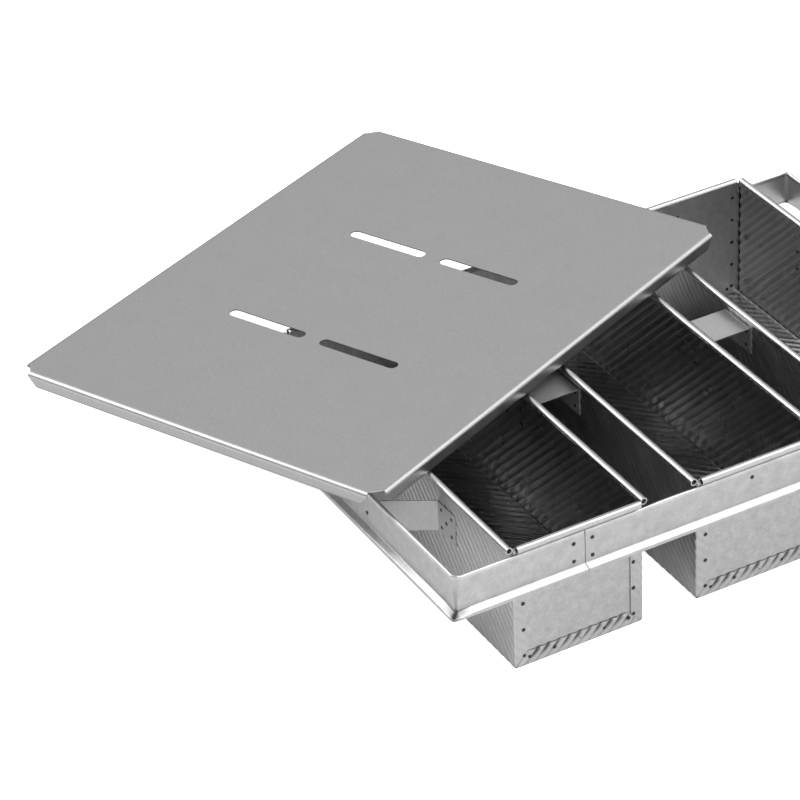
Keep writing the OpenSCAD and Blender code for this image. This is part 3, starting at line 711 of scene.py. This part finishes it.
# outer brackets: a plate on the pan's wall, a slanting part, and a foot on the strap
BR_Y, BR_LEAN, BR_PAN, BR_FOOT, BR_H = 61.5, 28.0, 24.0, 16.0, 25.4
BR_EDGE, BR_DROP = 5.2, 4.8                 # rivet's middle to the plate's edge, and to the foot's top
BR_TOP = STRAP_TOP - 12.6
BR_LOW = BR_TOP - BR_H
heads = Parts()
for sx, wx in ((-1, "left"), (1, "right")):
    for sy, wy in ((-1, "front"), (1, "rear")):
        wall = PITCH + SIDE_OUT + SHEET / 2 + 0.25
        foot = STRAP_X - SHEET / 2
        fy = BR_Y - BR_LEAN
        mid = fillet([(wall, BR_Y + BR_PAN), (wall, BR_Y), (foot, fy), (foot, fy + BR_FOOT)], 1.8, 6)
        out = thicken(mid, SHEET * 0.96)
        zs = np.linspace(BR_LOW, BR_TOP, 7)
        rings = np.array([[(sx * a, sy * b, z) for a, b in out] for z in zs])
        if sx * sy < 0:
            rings = rings[:, ::-1]
        p = Parts()
        p.add(*loft(rings))
        p.done(f"bracket_{wx}_{wy}", M_BRACKET, "pan_set", smooth=32, replaces=[f"outer_bracket_{wx}_{wy}"],
               slot="bracket_sheet")
        spots = [(y, z) for y in (BR_Y + BR_EDGE, BR_Y + BR_PAN - BR_EDGE)
                 for z in (BR_TOP - BR_EDGE, BR_LOW + BR_EDGE)]
        spots.append((BR_Y + BR_PAN / 2, (BR_TOP + BR_LOW) / 2))
        for y, z in spots:
            seed += 1
            rivet_head(heads, (sx * (PITCH + SIDE_IN), sy * y, z), (-sx, 0, 0), seed)
            rivet_head(heads, (sx * (PITCH + SIDE_OUT + SHEET), sy * y, z), (sx, 0, 0), seed)
        seed += 1
        y, z = fy + BR_FOOT / 2, BR_TOP - BR_DROP
        rivet_head(heads, (sx * (STRAP_X + STRAP_T), sy * y, z), (sx, 0, 0), seed)
        rivet_head(heads, (sx * (STRAP_X - SHEET), sy * y, z), (-sx, 0, 0), seed)
heads.done("bracket_heads", M_RIVET, "pan_set", smooth=50, replaces=["outer_bracket_rivets"], slot="rivets")


# ---------------------------------------------------------------- cover
CW, CL, CT = 337.0, 421.0, 0.9              # width, length and sheet
CE, CR = 10.7, 3.2                          # depth of the turned-down edges, and their bend's radius
CUT, TRIM = 10.0, 7.0                       # cut at the corners, and slant of the edges' ends
SLOT_L, SLOT_W, SLOT_U, SLOT_V, SLOT_SHIFT = 70.6, 8.6, 43.2, 68.5, 3.4
LIP, LIP_SHADE = 0.35, 0.25                  # rounding of the slots' lips, and the painted shade on them
COVER_AT = (-126.8, 160.3)
COVER_TURN, TIP_X, TIP_Y = -67.3, -2.65, -1.77      # degrees
ROT = Matrix.Rotation(math.radians(TIP_Y), 3, "Y") @ Matrix.Rotation(math.radians(TIP_X), 3, "X")
ROT = ROT @ Matrix.Rotation(math.radians(COVER_TURN), 3, "Z")
ROT = np.array(ROT)
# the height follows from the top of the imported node
corners = np.array([[sx * (CW / 2 - CR), sy * (CL / 2 - CUT), 0] for sx in (-1, 1) for sy in (-1, 1)]
                   + [[sx * (CW / 2 - CUT), sy * (CL / 2 - CR), 0] for sx in (-1, 1) for sy in (-1, 1)])
COVER_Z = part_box("cover")[1].z / MM - (corners @ ROT.T)[:, 2].max()
SLOTS = [(su * SLOT_U + sv * SLOT_SHIFT, sv * SLOT_V) for su in (-1, 1) for sv in (-1, 1)]


def to_world(P):
    """Points of the cover's own frame, at its place on the rims."""
    return np.asarray(P, float) @ ROT.T + np.array([COVER_AT[0], COVER_AT[1], COVER_Z])


def slot_loop(u, v, grow, n=12):
    """Outline of the slot at u, v, wider all round by grow."""
    r = SLOT_W / 2 + grow
    st = SLOT_L / 2 - SLOT_W / 2
    pts = []
    for s, start in ((1, -math.pi / 2), (-1, math.pi / 2)):
        turn = np.linspace(start, start + math.pi, n)
        pts += [(u + s * st + r * math.cos(a), v + r * math.sin(a)) for a in turn]
    return pts


def cover_plate(parts):
    """The flat of the cover: its two faces, its edge at the cut corners and the rounded lips of its slots."""
    bm = bmesh.new()
    a, b = CW / 2 - CR, CL / 2 - CR
    ca, cb = CW / 2 - CUT, CL / 2 - CUT
    outline = [(a, -cb), (a, cb), (ca, b), (-ca, b), (-a, cb), (-a, -cb), (-ca, -b), (ca, -b)]
    loops = [outline] + [slot_loop(u, v, LIP) for u, v in SLOTS]
    edges = []
    for lp in loops:
        vs = [bm.verts.new((x, y, 0)) for x, y in lp]
        edges += [bm.edges.new((vs[k], vs[(k + 1) % len(vs)])) for k in range(len(vs))]
    bmesh.ops.triangle_fill(bm, use_beauty=True, use_dissolve=False, edges=edges)
    bm.verts.index_update()
    V = np.array([v.co[:] for v in bm.verts])
    F = [tuple(v.index for v in f.verts) for f in bm.faces]
    sign = np.sign(sum(np.cross(V[f[1]] - V[f[0]], V[f[2]] - V[f[0]])[2] for f in F))
    if sign < 0:
        F = [f[::-1] for f in F]
    low = V.copy()
    low[:, 2] = -CT
    m = len(V)
    faces = F + [tuple(m + k for k in f[::-1]) for f in F]
    for k in range(len(outline)):
        q = (k + 1) % len(outline)
        faces.append((m + k, m + q, q, k))
    bm.free()
    parts.add(to_world(np.vstack([V, low])), faces)
    for u, v in SLOTS:
        rings = []
        for t in np.linspace(0, 1, 7):
            ang = t * math.pi
            z = -CT / 2 + CT / 2 * math.cos(ang)
            rings.append([(x, y, z) for x, y in slot_loop(u, v, LIP - LIP * math.sin(ang))])
        verts, faces = loft(rings, cap=False)
        parts.add(to_world(verts), faces, np.full(len(verts), LIP_SHADE))


def cover_edge(parts, half, run, turn):
    """One turned-down edge along local Y, at local X = half, then turned about the middle."""
    c, s = math.cos(turn), math.sin(turn)
    ang = np.linspace(math.pi / 2, 0, 8)
    outer = [(half - CR + CR * math.cos(a), -CR + CR * math.sin(a)) for a in ang]
    inner = [(half - CR + (CR - CT) * math.cos(a), -CR + (CR - CT) * math.sin(a)) for a in ang]
    depth = np.linspace(CR, CE, 8)[1:]
    outer += [(half, -d) for d in depth]
    inner += [(half - CT, -d) for d in depth]
    outer[-1] = (half - 0.12, -CE)
    rings = []
    for t in np.linspace(-1, 1, 40):
        ring = []
        for x, z in outer + inner[::-1]:
            over = max(0.0, -z - CR)
            y = t * (run / 2 - over * TRIM / (CE - CR))
            ring.append((c * x - s * y, s * x + c * y, z))
        rings.append(ring)
    v, f = loft(rings)
    depth = -v[:, 2]
    # painted shade: the turned-down edges darker than the flat, and darkest along their lower edge
    tone = (1.0 - 0.45 * smooth01((depth - CE + 1.4) / 1.2)) * (1.0 - 0.14 * smooth01(depth - CR))
    parts.add(to_world(v), f, tone)


p = Parts()
cover_plate(p)
for k, (half, run) in enumerate(((CW / 2, CL - 2 * CUT), (CL / 2, CW - 2 * CUT)) * 2):
    cover_edge(p, half, run, k * math.pi / 2)
p.done("cover_sheet", M_COVER, "cover", smooth=35, replaces=["cover"], slot="cover_sheet")


# ---------------------------------------------------------------- floor, light and camera, in metres
FLOOR_GLOW = 0.85
FLOOR_HALF, FLOOR_Z = 6.0, -0.0002
SHADE_AT = (0.0375, 0.05, 0)                # middle and half size of the painted shadow on the floor under the row
SHADE_HALF = (0.1875, 0.10, 0)
SHADE_EDGE = 0.05                           # it grows light over this distance
# floor colour inside the painted shadow and outside it
FLOOR_DARK, FLOOR_LIGHT = 0.15, 0.8


def plain_floor():
    """A white floor with a painted shadow right under the row, darker in colour and without glow there. Only
    the camera sees its glow.
    """
    me = bpy.data.meshes.new("floor")
    s = FLOOR_HALF
    me.from_pydata([(-s, -s, 0), (s, -s, 0), (s, s, 0), (-s, s, 0)], [], [(0, 1, 2, 3)])
    ob = bpy.data.objects.new("floor", me)
    bpy.context.scene.collection.objects.link(ob)
    ob.location.z = FLOOR_Z
    mat = bpy.data.materials.new("floor")
    mat.use_nodes = True
    nt = mat.node_tree
    nt.nodes.clear()
    out = nt.nodes.new("ShaderNodeOutputMaterial")
    dif = nt.nodes.new("ShaderNodeBsdfDiffuse")
    em = nt.nodes.new("ShaderNodeEmission")
    geo = nt.nodes.new("ShaderNodeTexCoord")
    off = nt.nodes.new("ShaderNodeVectorMath")
    off.operation = "SUBTRACT"
    off.inputs[1].default_value = SHADE_AT
    far = nt.nodes.new("ShaderNodeVectorMath")
    far.operation = "ABSOLUTE"
    sub = nt.nodes.new("ShaderNodeVectorMath")
    sub.operation = "SUBTRACT"
    sub.inputs[1].default_value = SHADE_HALF
    clip = nt.nodes.new("ShaderNodeVectorMath")
    clip.operation = "MAXIMUM"
    clip.inputs[1].default_value = (0, 0, 0)
    length = nt.nodes.new("ShaderNodeVectorMath")
    length.operation = "LENGTH"
    open_floor = nt.nodes.new("ShaderNodeMapRange")
    open_floor.interpolation_type = "SMOOTHSTEP"
    open_floor.inputs["From Min"].default_value = 0.0
    open_floor.inputs["From Max"].default_value = SHADE_EDGE
    nt.links.new(geo.outputs["Object"], off.inputs[0])
    nt.links.new(off.outputs["Vector"], far.inputs[0])
    nt.links.new(far.outputs["Vector"], sub.inputs[0])
    nt.links.new(sub.outputs["Vector"], clip.inputs[0])
    nt.links.new(clip.outputs["Vector"], length.inputs[0])
    nt.links.new(length.outputs["Value"], open_floor.inputs["Value"])
    grow = nt.nodes.new("ShaderNodeMath")
    grow.operation = "MULTIPLY"
    grow.inputs[1].default_value = FLOOR_GLOW
    nt.links.new(open_floor.outputs["Result"], grow.inputs[0])
    nt.links.new(grow.outputs[0], em.inputs["Strength"])
    tone = nt.nodes.new("ShaderNodeMapRange")
    tone.inputs["To Min"].default_value = FLOOR_DARK
    tone.inputs["To Max"].default_value = FLOOR_LIGHT
    nt.links.new(open_floor.outputs["Result"], tone.inputs["Value"])
    nt.links.new(tone.outputs["Result"], dif.inputs["Color"])
    add = nt.nodes.new("ShaderNodeAddShader")
    mix = nt.nodes.new("ShaderNodeMixShader")
    lp = nt.nodes.new("ShaderNodeLightPath")
    nt.links.new(dif.outputs[0], add.inputs[0])
    nt.links.new(em.outputs[0], add.inputs[1])
    nt.links.new(lp.outputs["Is Camera Ray"], mix.inputs[0])
    nt.links.new(dif.outputs[0], mix.inputs[1])
    nt.links.new(add.outputs[0], mix.inputs[2])
    nt.links.new(mix.outputs[0], out.inputs[0])
    me.materials.append(mat)


plain_floor()

# soft light from all round, as broad blobs of sky: azimuth, elevation, reach in degrees, strength
SKY = [
    (-90, 60, 30, 2.86),
    (-30, 60, 30, 2.86),
    (90, 60, 30, 0.21),
    (-125, 36, 28, 1.95),
    (-90, 36, 28, 0.82),
    (-25, 36, 28, 0.64),
    (15, 36, 28, 1.06),
    (62, 36, 28, 0.91),
    (118, 36, 28, 2.86),
    (150, 36, 28, 2.86),
    (-60, 14, 28, 1.38),
    (-15, 14, 28, 1.46),
    (110, 14, 28, 0.33),
]
world = bpy.data.worlds.new("studio")
bpy.context.scene.world = world
world.use_nodes = True
nt = world.node_tree
nt.nodes.clear()


def wnode(kind, **kw):
    """A node of the world, with its settings."""
    n = nt.nodes.new(kind)
    for k, v in kw.items():
        setattr(n, k, v)
    return n


tc = wnode("ShaderNodeTexCoord")
total = None
for az, elev, reach, strength in SKY:
    a, e = math.radians(az), math.radians(elev)
    dot = wnode("ShaderNodeVectorMath", operation="DOT_PRODUCT")
    nt.links.new(tc.outputs["Generated"], dot.inputs[0])
    dot.inputs[1].default_value = (math.cos(e) * math.cos(a), math.cos(e) * math.sin(a), math.sin(e))
    soft = wnode("ShaderNodeMapRange", interpolation_type="SMOOTHSTEP")
    soft.inputs["From Min"].default_value = math.cos(math.radians(reach))
    soft.inputs["From Max"].default_value = math.cos(math.radians(reach * 0.25))
    soft.inputs["To Min"].default_value = 0.0
    soft.inputs["To Max"].default_value = strength
    nt.links.new(dot.outputs["Value"], soft.inputs["Value"])
    if total is None:
        total = soft.outputs["Result"]
    else:
        add = wnode("ShaderNodeMath", operation="ADD")
        nt.links.new(total, add.inputs[0])
        nt.links.new(soft.outputs["Result"], add.inputs[1])
        total = add.outputs[0]
out = wnode("ShaderNodeOutputWorld")
bg = wnode("ShaderNodeBackground")
white = wnode("ShaderNodeBackground")
white.inputs["Color"].default_value = (1, 1, 1, 1)
mix = wnode("ShaderNodeMixShader")
lp = wnode("ShaderNodeLightPath")
nt.links.new(total, bg.inputs["Strength"])
nt.links.new(lp.outputs["Is Camera Ray"], mix.inputs[0])
nt.links.new(bg.outputs[0], mix.inputs[1])
nt.links.new(white.outputs[0], mix.inputs[2])
nt.links.new(mix.outputs[0], out.inputs[0])

CAM_AT = (-1.2232, -1.9223, 1.5813)
CAM_AZ, CAM_EL, CAM_ROLL = math.radians(-118.154), math.radians(33.634), math.radians(-2.774)
FOCAL_PX, PICTURE_PX, SENSOR = 3729.0, 800, 36
back = Vector((math.cos(CAM_EL) * math.cos(CAM_AZ), math.cos(CAM_EL) * math.sin(CAM_AZ), math.sin(CAM_EL)))
right = Vector((0, 0, 1)).cross(back).normalized()
up = back.cross(right)
r2 = right * math.cos(CAM_ROLL) + up * math.sin(CAM_ROLL)
u2 = up * math.cos(CAM_ROLL) - right * math.sin(CAM_ROLL)
cam = bpy.data.cameras.new("camera")
cam.sensor_width = SENSOR
cam.sensor_fit = "HORIZONTAL"
cam.lens = FOCAL_PX / PICTURE_PX * SENSOR
cam.clip_start, cam.clip_end = 0.1, 50
co = bpy.data.objects.new("camera", cam)
bpy.context.scene.collection.objects.link(co)
m = Matrix((r2, u2, back)).transposed().to_4x4()
m.translation = Vector(CAM_AT)
co.matrix_world = m
bpy.context.scene.camera = co
bpy.context.scene.view_settings.view_transform = "Standard"

bpy.context.view_layer.update()
